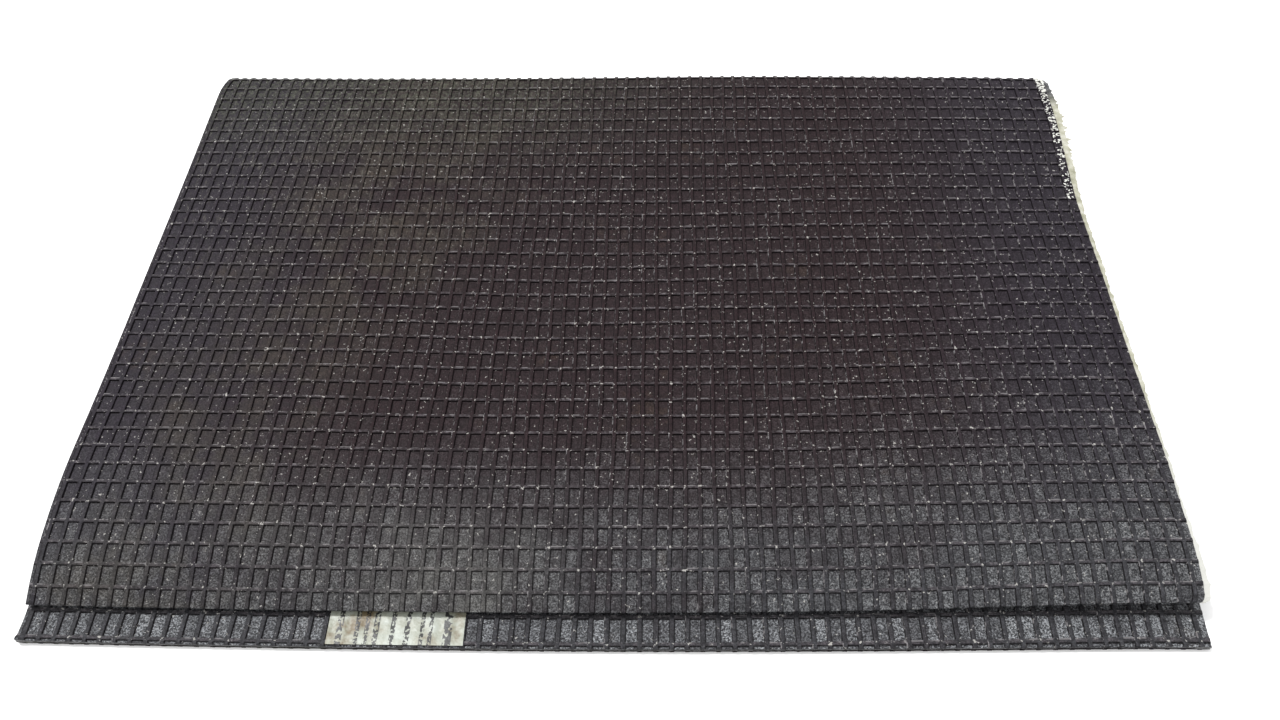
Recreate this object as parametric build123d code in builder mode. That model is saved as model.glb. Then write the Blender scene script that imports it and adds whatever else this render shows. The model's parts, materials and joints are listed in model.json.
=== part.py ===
from build123d import *
import os
from collections import namedtuple
from math import ceil, cos, radians, sin, tan

# Seedling heat mat: two ribbed rubber sheets bonded round a heating wire, folded in half.
# The mat is a chain of flat segments hinged on its crosswise ribs: the lower half, the
# strips of the loop at the back, and the flap, whose front end rests on the lower half.
# X is across the mat, +Y runs to the fold and Z is up. The origin is on the floor.

# Rubber sheets
mat_width = 609.6
mat_length = 914.4  # laid out flat
mat_thickness = 4.8
core_thickness = 1.5  # between the two sheets
row_pitch = 11.87  # from one crosswise rib to the next
first_rib = 2.2  # from the front edge of the lower half

# Fold
loop_strips = 4
lower_extra_rows = 1  # rows by which the lower half is longer than half of the mat
shoulder_rows = 4
shoulder_slope = 10.5  # degrees, down to the front
lip_slope = 24.0
rest_gap = 0.4  # between the lip and the lower half
hinge_gap = 0.1  # each side of a hinge line

# Edge seal
seal_width = 8.0
bead_overhang = 3.0  # sealant that stands out of the right edge

# Heating wire on its carrier cloth
cloth_thickness = 0.4
wire_radius = 0.5
wire_gap = 0.05  # wire to cloth
run_spacing = 21.5  # wanted between runs, whose number is even
wire_inset = 8.0  # from the seal to the first run
wire_end_gap = 0.3
turn_inset = 1.6  # from the seal to the middle of the nearest crosswise wire
return_spacing = 3.0  # return wire to the runs beside it
turn_share = 0.45  # bend radius of the wire in run pitches
core_gap = 0.4  # cloth to seal

# Rating label
label_width = 72.0
label_length = 110.0
label_thickness = 0.15
label_left = -148.0
label_inset = 1.0  # from the front edge

# Junction boot, where the supply cord goes in
boot_fillet = 3.0
boot_inset = 2.0  # from the left edge
boot_set_back = 130.0  # its middle, from the front edge of the lower half
boot_wall = 4.0
boot_roof = 3.0
gland_length = 18.0
gland_bore = 3.3
gland_wall = 1.7
gland_gap = 0.05
gland_cover = 1.25  # rubber of the boot over and under the gland

# What lies in the boot
crimp_length = 11.0
crimp_radius = 1.6
cutout_length = 15.0
cutout_radius = 2.4
tail_radius = 0.6
tail_hole_gap = 0.2
tail_spacing = 14.0  # between the two lead tails
tail_inset = 7.0  # from the gland's inner end
tail_reach = 8.0  # from the tail's hole to its crimp
tail_bend = 2.5
seat_gap = 0.2  # between the cut-out and the sheet under it
link_reach = 4.0  # how far the link to the cut-out stands out past it
side_room = 5.4  # in the cavity, beside the crimps
end_room = 6.0  # in the cavity, past the link

# Worked out
half_core = core_thickness / 2
half_mat = mat_thickness / 2
cloth_half_width = mat_width / 2 - seal_width - core_gap
first_run = -(mat_width / 2 - seal_width - wire_inset)
wire_runs = 2 * round((-2 * first_run / run_spacing + 1) / 2)
run_pitch = -2 * first_run / (wire_runs - 1)
run_places = [first_run + i * run_pitch for i in range(wire_runs)]
turn_radius = turn_share * run_pitch
wire_level = -half_core + cloth_thickness + wire_gap + wire_radius

# Rows of ribs: the lip takes the cut row at the end and as many whole ones as its wire needs
total_rows = int((mat_length - first_rib) / row_pitch)
cut_row = mat_length - first_rib - total_rows * row_pitch
lip_room = seal_width + turn_inset + turn_radius + wire_end_gap
lip_rows = ceil((lip_room - cut_row) / row_pitch)
lower_rows = (total_rows - loop_strips) // 2 + lower_extra_rows
main_rows = total_rows - lower_rows - loop_strips - shoulder_rows - lip_rows
lower_length = first_rib + lower_rows * row_pitch
main_length = main_rows * row_pitch
shoulder_length = shoulder_rows * row_pitch
lip_length = lip_rows * row_pitch + cut_row

Segment = namedtuple("Segment", "name y z heading length bend_in bend_out")


def fold_chain(main_slope, front=0.0):
    """The hinged segments, from the front of the lower half round to the front of the flap."""
    turn = (180 + main_slope) / (loop_strips + 1)
    names = ["lower_half"] + [f"fold_strip_{i + 1}" for i in range(loop_strips)]
    names += ["flap_main", "flap_shoulder", "flap_lip"]
    lengths = [lower_length] + [row_pitch] * loop_strips
    lengths += [main_length, shoulder_length, lip_length]
    bends = [0] + [turn] * (loop_strips + 1)
    bends += [shoulder_slope - main_slope, lip_slope - shoulder_slope, 0]
    chain, heading, y, z = [], 0.0, front, half_mat
    for name, length, bend_in, bend_out in zip(names, lengths, bends, bends[1:]):
        heading += bend_in
        chain.append(Segment(name, y, z, heading, length, bend_in, bend_out))
        y += length * cos(radians(heading))
        z += length * sin(radians(heading))
    return chain, z


def resting_slope():
    """The slope of the main part of the flap that brings its front end down onto the lower half."""
    target = mat_thickness + rest_gap + half_mat * cos(radians(lip_slope))
    low, high = -5.0, shoulder_slope
    for _ in range(50):
        middle = (low + high) / 2
        if fold_chain(middle)[1] > target:
            low = middle
        else:
            high = middle
    return low


main_slope = resting_slope()
fold_depth = max(s.y for s in fold_chain(main_slope)[0]) + half_mat
segments = fold_chain(main_slope, front=-fold_depth / 2)[0]
lower, lip = segments[0], segments[-1]


def point_in(segment, x, along, level):
    """The place x across a segment, so far along it and so far towards the inner face."""
    turn = radians(segment.heading)
    y = segment.y + along * cos(turn) - level * sin(turn)
    return (x, y, segment.z + along * sin(turn) + level * cos(turn))


def side_plane(segment):
    """The segment's section: first axis along it, second towards the inner face."""
    turn = radians(segment.heading)
    return Plane(
        origin=(0, segment.y, segment.z), x_dir=(0, cos(turn), sin(turn)), z_dir=(1, 0, 0)
    )


def level_plane(segment, level):
    """The plane in the sheet: first axis across, second along, normal to the inner face."""
    turn = radians(segment.heading)
    return Plane(
        origin=point_in(segment, 0, 0, level), x_dir=(1, 0, 0), z_dir=(0, -sin(turn), cos(turn))
    )


def end_gap(bend, level):
    """How far a layer stops short of a hinge line, so that it clears its neighbour when folded."""
    return hinge_gap + max(level, 0) * tan(radians(bend) / 2) if bend else 0.0


def sheet_section(segment, low, high):
    """The corners of a rubber layer between two levels, closed."""
    near = [(end_gap(segment.bend_in, level), level) for level in (low, high)]
    far = [(segment.length - end_gap(segment.bend_out, level), level) for level in (low, high)]
    return [near[0], far[0], far[1], near[1], near[0]]


def core_span(segment, end_clearance):
    """Where a layer of the core starts and stops along a segment."""
    start = end_gap(segment.bend_in, half_core) if segment.bend_in else end_clearance
    stop = end_gap(segment.bend_out, half_core) if segment.bend_out else end_clearance
    return start, segment.length - stop


def save(piece, name):
    piece.label = name
    export_step(piece, f"parts/{name}.step")


os.makedirs("parts", exist_ok=True)

# The boot's place on the lower half, and what lies in it
gland_radius = gland_bore + gland_wall
boot_height = 2 * (gland_radius + gland_gap + gland_cover)
boot_width = tail_spacing + 2 * (crimp_radius + side_room + boot_wall)
boot_left = -mat_width / 2 + boot_inset
cavity_left = boot_left + gland_length
cavity_length = tail_inset + tail_reach + max(cutout_length, crimp_length) + link_reach + end_room
boot_length = gland_length + cavity_length + boot_wall
tail_place = cavity_left + tail_inset
tail_alongs = [boot_set_back - tail_spacing / 2, boot_set_back + tail_spacing / 2]
return_run = first_run - return_spacing
splice_level = half_mat + seat_gap + cutout_radius

# Rubber sheets, ribbed faces outwards
for segment in segments:
    with BuildPart() as outer_sheet:
        with BuildSketch(side_plane(segment)):
            with BuildLine():
                Polyline(*sheet_section(segment, -half_mat, -half_core))
            make_face()
        extrude(amount=mat_width / 2, both=True)
    save(outer_sheet.part, f"{segment.name}_outer_sheet")

    with BuildPart() as inner_sheet:
        with BuildSketch(side_plane(segment)):
            with BuildLine():
                Polyline(*sheet_section(segment, half_core, half_mat))
            make_face()
        extrude(amount=mat_width / 2, both=True)
        if segment is lower:
            with BuildSketch(level_plane(segment, half_core)):
                with Locations(*[(tail_place, along) for along in tail_alongs]):
                    Circle(tail_radius + tail_hole_gap)
            extrude(amount=half_mat - half_core, mode=Mode.SUBTRACT)
    save(inner_sheet.part, f"{segment.name}_inner_sheet")

# Edge seal, with the bead that stands out of the right edge
for segment in segments:
    start, stop = core_span(segment, 0)
    with BuildPart() as edge_seal:
        with BuildSketch(level_plane(segment, -half_core)):
            with Locations((-mat_width / 2, start)):
                Rectangle(seal_width, stop - start, align=(Align.MIN, Align.MIN))
            with Locations((mat_width / 2 - seal_width, start)):
                Rectangle(seal_width + bead_overhang, stop - start, align=(Align.MIN, Align.MIN))
            if segment is lower:
                with Locations((0, start)):
                    Rectangle(mat_width, seal_width, align=(Align.CENTER, Align.MIN))
            if segment is lip:
                with Locations((0, stop)):
                    Rectangle(mat_width, seal_width, align=(Align.CENTER, Align.MAX))
        extrude(amount=core_thickness)
    save(edge_seal.part, f"{segment.name}_edge_seal")

# Carrier cloth
for segment in segments:
    start, stop = core_span(segment, seal_width + core_gap)
    with BuildPart() as carrier_cloth:
        with BuildSketch(level_plane(segment, -half_core)):
            with Locations((0, start)):
                Rectangle(2 * cloth_half_width, stop - start, align=(Align.CENTER, Align.MIN))
        extrude(amount=cloth_thickness)
    save(carrier_cloth.part, f"{segment.name}_carrier_cloth")


def wire_routes(segment):
    """The heating wire's routes in a segment, each a list of places across and along."""
    start, stop = wire_end_gap, segment.length - wire_end_gap
    if segment is lower:
        front = seal_width + turn_inset
        turn = front + return_spacing
        end = tail_place - tail_radius - wire_gap
        pairs = zip(run_places[1:-1:2], run_places[2:-1:2])
        routes = [[(a, stop), (a, turn), (b, turn), (b, stop)] for a, b in pairs]
        routes.append([(first_run, stop), (first_run, tail_alongs[1]), (end, tail_alongs[1])])
        last = run_places[-1]
        back = [(return_run, front), (return_run, tail_alongs[0]), (end, tail_alongs[0])]
        return routes + [[(last, stop), (last, front)] + back]
    if segment is lip:
        turn = segment.length - seal_width - turn_inset
        pairs = zip(run_places[::2], run_places[1::2])
        return [[(a, start), (a, turn), (b, turn), (b, start)] for a, b in pairs]
    return [[(x, start), (x, stop)] for x in run_places]


def round_section(radius, route):
    """A round section at the start of a route."""
    with BuildSketch(Plane(origin=route @ 0, z_dir=route % 0)) as section:
        Circle(radius)
    return section.sketch


# Heating wire
for segment in segments:
    with BuildPart() as heating_wire:
        for places in wire_routes(segment):
            with BuildLine(level_plane(segment, wire_level), mode=Mode.PRIVATE) as route:
                if len(places) == 2:
                    Line(*places)
                else:
                    FilletPolyline(*places, radius=turn_radius)
            sweep(round_section(wire_radius, route.wire()), path=route.wire())
    save(heating_wire.part, f"{segment.name}_heating_wire")

# Rating label
with BuildPart() as rating_label:
    with BuildSketch(level_plane(lower, half_mat)):
        with Locations((label_left, label_inset)):
            Rectangle(label_width, label_length, align=(Align.MIN, Align.MIN))
    extrude(amount=label_thickness)
save(rating_label.part, "rating_label")

# Junction boot: a moulded rubber cover, open below, with a hole for the gland
gland_start = Plane(
    origin=point_in(lower, boot_left, boot_set_back, half_mat + boot_height / 2), z_dir=(1, 0, 0)
)
with BuildPart() as junction_boot:
    with BuildSketch(level_plane(lower, half_mat)):
        with Locations((boot_left + boot_length / 2, boot_set_back)):
            RectangleRounded(boot_length, boot_width, boot_fillet)
    extrude(amount=boot_height)
    fillet(junction_boot.faces().sort_by(Axis.Z)[-1].edges(), radius=boot_fillet)
    with BuildSketch(level_plane(lower, half_mat)):
        with Locations((cavity_left, boot_set_back)):
            Rectangle(
                cavity_length, boot_width - 2 * boot_wall, align=(Align.MIN, Align.CENTER)
            )
    extrude(amount=boot_height - boot_roof, mode=Mode.SUBTRACT)
    with BuildSketch(gland_start):
        Circle(gland_radius + gland_gap)
    extrude(amount=gland_length, mode=Mode.SUBTRACT)
save(junction_boot.part, "junction_boot")

with BuildPart() as cord_gland:
    with BuildSketch(gland_start):
        Circle(gland_radius)
        Circle(gland_bore, mode=Mode.SUBTRACT)
    extrude(amount=gland_length)
save(cord_gland.part, "cord_gland")

# In the boot: lead tails up through the inner sheet to two crimps, and a thermal cut-out
crimp_start = tail_place + tail_reach
with BuildPart() as lead_tails:
    for along in tail_alongs:
        foot, corner = (point_in(lower, tail_place, along, v) for v in (0, splice_level))
        with BuildLine(mode=Mode.PRIVATE) as route:
            end = point_in(lower, crimp_start, along, splice_level)
            FilletPolyline(foot, corner, end, radius=tail_bend)
        sweep(round_section(tail_radius, route.wire()), path=route.wire())
save(lead_tails.part, "lead_tails")

with BuildPart() as splice_crimps:
    for along in tail_alongs:
        with BuildSketch(
            Plane(origin=point_in(lower, crimp_start, along, splice_level), z_dir=(1, 0, 0))
        ):
            Circle(crimp_radius)
        extrude(amount=crimp_length)
save(splice_crimps.part, "splice_crimps")

cutout_end = crimp_start + cutout_length
with BuildPart() as thermal_cutout:
    with BuildSketch(
        Plane(origin=point_in(lower, crimp_start, boot_set_back, splice_level), z_dir=(1, 0, 0))
    ):
        Circle(cutout_radius)
    extrude(amount=cutout_length)
    fillet(thermal_cutout.edges(), radius=cutout_radius * 0.2)
save(thermal_cutout.part, "thermal_cutout")

with BuildPart() as cutout_link:
    crimp_end, link_end = crimp_start + crimp_length, cutout_end + link_reach
    with BuildLine(level_plane(lower, splice_level), mode=Mode.PRIVATE) as route:
        near, middle = tail_alongs[0], boot_set_back
        FilletPolyline(
            (crimp_end, near), (link_end, near), (link_end, middle), (cutout_end, middle),
            radius=tail_bend,
        )
    sweep(round_section(tail_radius, route.wire()), path=route.wire())
save(cutout_link.part, "cutout_link")
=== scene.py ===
"""Seedling heat mat: two ribbed rubber skins bonded round a heating wire, folded in half.

Every length is in metres. A spot of the mat is named by x, across, s, along the mat from
the front edge of its lower half round the fold to the front edge of the flap, and level,
from the middle of its thickness towards its inner face.
"""
import json
from math import cos, pi, radians, sin, tan

import bmesh
import bpy
import numpy as np
from mathutils import Matrix, Vector


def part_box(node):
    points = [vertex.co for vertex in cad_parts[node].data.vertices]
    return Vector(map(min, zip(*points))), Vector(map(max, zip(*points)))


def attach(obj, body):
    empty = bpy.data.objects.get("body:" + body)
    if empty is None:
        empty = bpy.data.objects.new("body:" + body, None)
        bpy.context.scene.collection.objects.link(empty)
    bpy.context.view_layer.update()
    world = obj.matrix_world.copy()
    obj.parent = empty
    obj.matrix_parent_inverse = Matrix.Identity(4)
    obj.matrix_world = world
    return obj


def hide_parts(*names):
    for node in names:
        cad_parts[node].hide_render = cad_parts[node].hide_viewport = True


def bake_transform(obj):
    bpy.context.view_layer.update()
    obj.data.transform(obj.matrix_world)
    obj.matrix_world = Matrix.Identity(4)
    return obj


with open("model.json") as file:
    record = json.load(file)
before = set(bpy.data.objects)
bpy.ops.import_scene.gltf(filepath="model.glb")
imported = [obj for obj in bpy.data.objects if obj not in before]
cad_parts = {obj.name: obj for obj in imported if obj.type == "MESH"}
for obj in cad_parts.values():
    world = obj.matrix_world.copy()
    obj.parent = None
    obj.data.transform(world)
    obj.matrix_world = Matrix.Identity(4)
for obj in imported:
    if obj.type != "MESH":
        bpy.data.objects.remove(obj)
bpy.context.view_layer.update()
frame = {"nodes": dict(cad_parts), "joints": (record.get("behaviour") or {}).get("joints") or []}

MM = 0.001

# ---------------------------------------------------------------- the mat, from its frame

joints = {joint["name"]: joint for joint in frame["joints"]}
HINGES = ("fold_1", "fold_2", "fold_3", "fold_4", "fold_5", "shoulder_bend", "lip_bend")
BODIES = ("lower_half", "fold_strip_1", "fold_strip_2", "fold_strip_3", "fold_strip_4",
          "flap_main", "flap_shoulder", "flap_lip")
SHOULDER_REACH = 24 * MM  # the shoulder's bend is spread this far to each side
front_low, front_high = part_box("lower_half_outer_sheet")
lip_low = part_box("flap_lip_outer_sheet")[0]
HALF_WIDTH = front_high.x
HALF_MAT = joints["fold_1"]["pos_m"][2]
HALF_CORE = HALF_MAT - front_high.z
COLUMNS = 75


def turn_of(hinge):
    """How far the mat is bent at a hinge line, as it lies folded."""
    return radians(joints[hinge]["range_deg"][1] - joints[hinge]["range_deg"][0])


class CentreLine:
    """The line through the middle of the mat's thickness, with every bend rounded."""

    def __init__(self):
        self.corners = [(front_low.y, HALF_MAT)]
        self.corners += [tuple(joints[hinge]["pos_m"][1:]) for hinge in HINGES]
        self.headings = [0.0]
        for hinge in HINGES:
            self.headings.append(self.headings[-1] + turn_of(hinge))
        last = self.headings[-1]
        lip = (self.corners[-1][0] - lip_low.y - HALF_MAT * abs(sin(last))) / abs(cos(last))
        end = (self.corners[-1][0] + lip * cos(last), self.corners[-1][1] + lip * sin(last))
        self.corners.append(end)
        self.s = [0.0]
        for near, far in zip(self.corners, self.corners[1:]):
            self.s.append(self.s[-1] + (Vector(far) - Vector(near)).length)
        self.row = self.s[2] - self.s[1]
        self.first_rib = self.s[1] % self.row
        lip_reach = 1.5 * self.row
        self.reach = [0.0] + [self.row / 2] * 5 + [SHOULDER_REACH, lip_reach]

    def at(self, s):
        """The place and heading so far along the mat."""
        for i, reach in enumerate(self.reach):
            if i and abs(s - self.s[i]) < reach:
                heading, turn = self.headings[i - 1], self.headings[i] - self.headings[i - 1]
                angle = turn * (s - self.s[i] + reach) / (2 * reach)
                radius = reach / tan(turn / 2)
                ahead, aside = radius * sin(angle) - reach, radius * (1 - cos(angle))
                y, z = self.corners[i]
                y += ahead * cos(heading) - aside * sin(heading)
                z += ahead * sin(heading) + aside * cos(heading)
                return y, z, heading + angle
        i = max(k for k in range(len(self.headings)) if self.s[k] <= s + 1e-9 or k == 0)
        heading, ahead = self.headings[i], s - self.s[i]
        y, z = self.corners[i]
        return y + ahead * cos(heading), z + ahead * sin(heading), heading

    def rows_at(self, s):
        """at() for many places at once: arrays of y, z and heading."""
        places, where = np.unique(np.asarray(s, float), return_inverse=True)
        found = np.array([self.at(place) for place in places])[where.reshape(-1)]
        return found.reshape(*np.shape(s), 3).transpose(-1, *range(np.ndim(s)))


line = CentreLine()
ROW = line.row
COLUMN = 2 * HALF_WIDTH / COLUMNS
FIRST_COLUMN = 3.2 * MM - HALF_WIDTH  # middle of the first lengthwise rib, by its plain margin
FLAP_START, FLAP_END = line.s[5], line.s[-1]


def mid_row(rib):
    """Half way from one crosswise rib to the next."""
    return line.first_rib + (rib + 0.5) * ROW


def ease(value, low, high):
    """0 below low, 1 above high, smooth between."""
    t = np.clip((np.asarray(value, float) - low) / (high - low), 0, 1)
    return t * t * (3 - 2 * t)


# Where the mat strays from the flat-sided fold
SAG = 6.5 * MM  # middle of the flap, below its sides
CORNER_LIFT = 5 * MM  # right front corner of the flap
LEFT_DROOP = 3 * MM
CREST_DROOP = 0.9 * MM  # right end of the fold
CREST_RISE = 1.6 * MM  # right of the fold's middle
LEFT_RISE = 0.5 * MM  # left end of the fold
RIPPLE = 0.5 * MM  # over the whole flap


def stray(x, s):
    """How far the mat lies above its plain fold."""
    across = np.clip(x / HALF_WIDTH, -1, 1)
    along = np.clip((s - FLAP_START) / (FLAP_END - FLAP_START), 0, 1)
    hollow = np.sin(pi * along) ** 1.4
    sag = -SAG * hollow * np.cos(across * pi / 2) ** 1.3
    droop = -LEFT_DROOP * hollow * ease(-across, 0.5, 1)
    lift = CORNER_LIFT * ease(across, 0.35, 1) * ease(along, 0.84, 1)
    height = line.rows_at(s)[1]
    raised = ease(height, 0.012, 0.036) * (1 - ease(along, 0.55, 0.9))
    ends = -CREST_DROOP * ease(across, 0.8, 1)
    wave = CREST_RISE * np.exp(-((across - 0.3) / 0.42) ** 2)
    wave = wave + LEFT_RISE * (1 - ease(across, -1, -0.6))
    ripple = RIPPLE * np.sin(9.4 * across + 11 * along) * hollow
    return sag + droop + lift + ripple + raised * (ends + wave)


WANDER, WOBBLE = 0.7 * MM, 0.35 * MM  # slow and quick sideways creep of the columns


def slip(x, s):
    """How far a spot has crept sideways: the columns aren't quite straight."""
    kept = 1 - ease(np.abs(x) / HALF_WIDTH, 0.8, 1)
    return kept * (WANDER * np.sin(x * 31 + s * 17) + WOBBLE * np.sin(x * 83 - s * 61))


SKEW = 1.6 * MM  # the rows of the lower half run out of square to its front edge
LONG_ROW = 3.4 * MM  # its first whole row is longer than the others
CORNER_RADIUS = 3.5 * MM  # right front corner of the flap
CORNER_REACH = 14 * MM  # the trim at that corner dies away this far in
BOW = 3.0 * MM  # both front edges bulge forward in the middle
FALL_BACK = 2.8 * MM  # and fall back at the right
BOW_DEPTH = 0.30  # the bulge dies away this far back
FLARE = 6.2 * MM  # the right side spreads round the fold
FLARE_WIDTH = 0.12  # and takes this much of the mat's right with it
PULL_IN = 3.2 * MM  # the fold's left end is rounded off
CREST_BACK, CREST_REACH = 7 * MM, 24 * MM  # before the flap's start, and to each side
SPREAD_LEFT, SPREAD_RIGHT = 1.8 * MM, 2.4 * MM  # the lower half is wider near its front
BURR = 5 * MM  # its left front corner is turned out and up
BURR_OUT, BURR_UP = 0.9 * MM, 0.7 * MM


def row_skew(x, s):
    """How far along the mat the rows are pushed at the front of the lower half."""
    kept = np.clip(s / line.first_rib, 0, 1) * (1 - ease(s, 0.04, 0.32))
    longer = ease(s, line.first_rib, line.first_rib + ROW) * (1 - ease(s, 0.06, 0.4))
    return SKEW * ease(x / HALF_WIDTH, 0.0, 1.0) * kept + LONG_ROW * longer


def corner_cut(x, s):
    """How far the side is trimmed in at the flap's right front corner."""
    short = np.clip(s - (FLAP_END - CORNER_RADIUS), 0, CORNER_RADIUS)
    inset = CORNER_RADIUS - np.sqrt(CORNER_RADIUS ** 2 - short ** 2 * 0.98)
    return inset * ease(x, HALF_WIDTH - CORNER_REACH, HALF_WIDTH - 1 * MM)


def front_bow(x, s, y):
    """How far the mat bulges forward near its two front edges."""
    near = 1 - ease(y, front_low.y, front_low.y + BOW_DEPTH)
    bow = BOW * near * (1 - np.clip(x / HALF_WIDTH + 0.12, -1, 1) ** 2)
    fall = 0.35 + 0.65 * ease(s, 0.1, 0.4)
    return bow - FALL_BACK * near * ease(x / HALF_WIDTH, -0.2, 0.9) * fall


def flare(x, s):
    """How far the right side spreads to the right round the fold."""
    round_fold = np.minimum(ease(s, FLAP_START - 0.07, FLAP_START - 0.03),
                            ease(-s, -FLAP_START - 0.15, -FLAP_START - 0.03))
    return FLARE * round_fold * ease(x, HALF_WIDTH - FLARE_WIDTH, HALF_WIDTH)


def spread(x, s):
    """How far the lower half spreads to the left near its front; below 0, to the right."""
    wider = ease(s, -0.01, 0.03) * (1 - ease(s, 0.05, 0.18))
    left, right = ease(-x / HALF_WIDTH, 0.4, 1), ease(x / HALF_WIDTH, 0.4, 1)
    return wider * (SPREAD_LEFT * left - SPREAD_RIGHT * right)


def crest_pull(x, s):
    """How far the fold's left end is pulled in."""
    crest = ease(-np.abs(s - FLAP_START + CREST_BACK), -CREST_REACH, 0)
    return PULL_IN * crest * ease(-x, HALF_WIDTH - 0.02, HALF_WIDTH)


def spots(x, s, level):
    """Points of the mat, from numbers or arrays that go together."""
    x, s, level = np.broadcast_arrays(*(np.asarray(v, float) for v in (x, s, level)))
    y, z, heading = line.rows_at(s + row_skew(x, s))
    burr = ease(-x, HALF_WIDTH - BURR, HALF_WIDTH) * ease(-s, -BURR, 0)
    aside = x + slip(x, s) - corner_cut(x, s) + flare(x, s) - spread(x, s)
    aside = aside - BURR_OUT * burr + crest_pull(x, s)
    back = y - level * np.sin(heading) - front_bow(x, s, y)
    up = z + level * np.cos(heading) + stray(x, s) + BURR_UP * burr
    return np.stack([aside, back, up], -1).reshape(-1, 3)


# ---------------------------------------------------------------- materials

class Value:
    """A number in a material. Python's operators on it add Math nodes."""

    def __init__(self, finish, socket):
        self.finish, self.socket = finish, socket

    def math(self, operation, *values):
        return self.finish.node("Math", {"operation": operation}, dict(enumerate(values)))

    def __add__(self, other):
        return self.math("ADD", self, other)

    def __radd__(self, other):
        return self.math("ADD", other, self)

    def __sub__(self, other):
        return self.math("SUBTRACT", self, other)

    def __rsub__(self, other):
        return self.math("SUBTRACT", other, self)

    def __mul__(self, other):
        return self.math("MULTIPLY", self, other)

    def __rmul__(self, other):
        return self.math("MULTIPLY", other, self)

    def __truediv__(self, other):
        return self.math("DIVIDE", self, other)

    def __abs__(self):
        return self.math("ABSOLUTE", self)

    def whole(self):
        return self.math("FLOOR", self)

    def bounce(self, size):
        return self.math("PINGPONG", self, size)

    def largest(self, other):
        return self.math("MAXIMUM", self, other)

    def smallest(self, other):
        return self.math("MINIMUM", self, other)


class Finish:
    """A material in the making. node() adds any node and links it."""

    def __init__(self, name):
        self.material = bpy.data.materials.new(name)
        self.material.use_nodes = True
        self.tree = self.material.node_tree
        self.tree.nodes.clear()

    def node(self, kind, settings=None, inputs=None, output=0):
        """A node of a kind, with its settings and the values or links of its sockets."""
        made = self.tree.nodes.new("ShaderNode" + kind)
        for key, setting in (settings or {}).items():
            if key == "stops":
                ramp = made.color_ramp
                while len(ramp.elements) < len(setting):
                    ramp.elements.new(0.5)
                for element, (position, colour) in zip(ramp.elements, setting):
                    element.position, element.color = position, (*colour, 1)
            else:
                setattr(made, key, setting)
        for key, value in (inputs or {}).items():
            if isinstance(value, Value):
                self.tree.links.new(value.socket, made.inputs[key])
            elif isinstance(value, tuple) and made.inputs[key].type == "RGBA":
                made.inputs[key].default_value = (*value, 1)
            else:
                made.inputs[key].default_value = value
        return Value(self, made.outputs[output]) if len(made.outputs) else None

    def ease(self, value, low, high, smallest=0.0, largest=1.0):
        """From smallest to largest as value goes from low to high, smoothly."""
        ends = {"From Min": low, "From Max": high, "To Min": smallest, "To Max": largest}
        return self.node("MapRange", {"interpolation_type": "SMOOTHSTEP"},
                         {"Value": value, **ends})

    def mix(self, share, first, second):
        """From the first colour to the second."""
        return self.node("Mix", {"data_type": "RGBA"}, {0: share, 6: first, 7: second}, 2)

    def shade(self, colour, by):
        """The colour, darker or lighter by a number."""
        grey = self.node("CombineXYZ", {}, {0: by, 1: by, 2: by})
        return self.node("VectorMath", {"operation": "MULTIPLY"}, {0: colour, 1: grey})

    def solid(self):
        """A spot's own coordinates, in metres."""
        return self.node("TexCoord", {}, {}, 3)

    def mat_place(self):
        """x and s of a spot, from the piece's place map."""
        place = self.node("UVMap", {"uv_map": "place"})
        return [self.node("SeparateXYZ", {}, {0: place}, axis) for axis in (0, 1)]

    def noise(self, vector, scale, detail=2.0, roughness=0.5):
        """Cloudy noise; a larger scale is finer."""
        values = {"Vector": vector, "Scale": scale, "Detail": detail, "Roughness": roughness}
        return self.node("TexNoise", {}, values)

    def surface(self, bump=None, **inputs):
        """Ends the material in one Principled shader."""
        values = {key.replace("_", " "): value for key, value in inputs.items()}
        if bump:
            height, depth = bump
            values["Normal"] = self.node("Bump", {}, {"Height": height, "Distance": depth})
        shader = self.node("BsdfPrincipled", {}, values)
        self.node("OutputMaterial", {}, {"Surface": shader})
        return self.material


# The rubber's own colours, what lies on it, and its painted sheen, sparkle, shade and highlights
PLUM_BLACK = (0.0125, 0.0068, 0.0080)
# painted sheen, bluish towards both sides
SIDE_SHEEN_BLUE = (0.0150, 0.0130, 0.0185)
# painted sheen, with wear from handling, at the flap's front
SHEEN_AND_WEAR_GREY = (0.027, 0.027, 0.030)
RIB_DUST = (0.046, 0.041, 0.045)
# silt in the cells, with painted sparkle
OUTER_SILT_SPARKLE, INNER_SILT_SPARKLE = (0.110, 0.113, 0.116), (0.190, 0.198, 0.208)
SOIL = (0.042, 0.036, 0.026)
STREAKS = (0.115, 0.108, 0.092)
MOSS = (0.056, 0.060, 0.044)
SCUFF = (0.085, 0.082, 0.074)
RUST = (0.048, 0.031, 0.018)
# painted shade at the feet of the cell walls
CORNER_SHADE = (0.0030, 0.0020, 0.0025)
# painted highlights on the rib walls and edges, and painted glinting specks
LIT_SLIVER = (0.20, 0.19, 0.195)
GLINT_SPECK = (0.34, 0.33, 0.31)


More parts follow.
